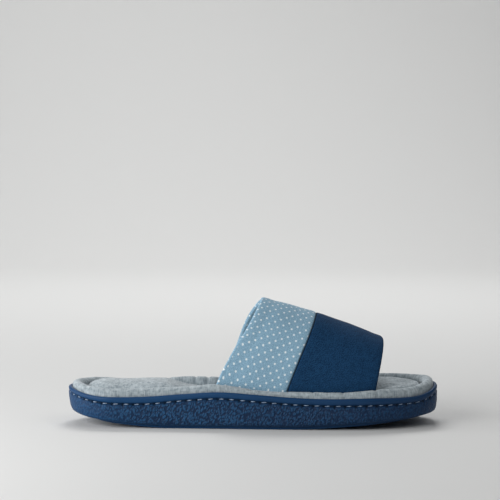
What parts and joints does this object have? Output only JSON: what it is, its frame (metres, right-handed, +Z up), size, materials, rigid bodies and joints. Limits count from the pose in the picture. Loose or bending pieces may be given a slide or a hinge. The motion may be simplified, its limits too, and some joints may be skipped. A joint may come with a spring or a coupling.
{
  "type": "scuff slipper",
  "caption": "Open-toe, open-back house slipper with a moulded cup sole, padded edge roll, soft footbed and a padded instep band in two panels.",
  "frame": {"origin": "on the floor, under the middle of the sole's box", "axes": "+X from heel to toe, +Y to the outer side of the foot, +Z up from the floor"},
  "size_m": [0.265, 0.1, 0.0898],
  "materials": {
    "moulded_rubber": "leather-grain moulded, satin, smooth bead at the lip",
    "marl_jersey_roll": "matt grey marl jersey over foam",
    "marl_jersey_footbed": "matt grey marl jersey over foam",
    "cotton_upper": "woven cotton, light blue with white dots at the back and plain navy at the front"
  },
  "bodies": {
    "root": {"outsole": "moulded_rubber", "edge_roll": "marl_jersey_roll", "footbed": "marl_jersey_footbed", "upper": "cotton_upper"}
  },
  "joints": []
}
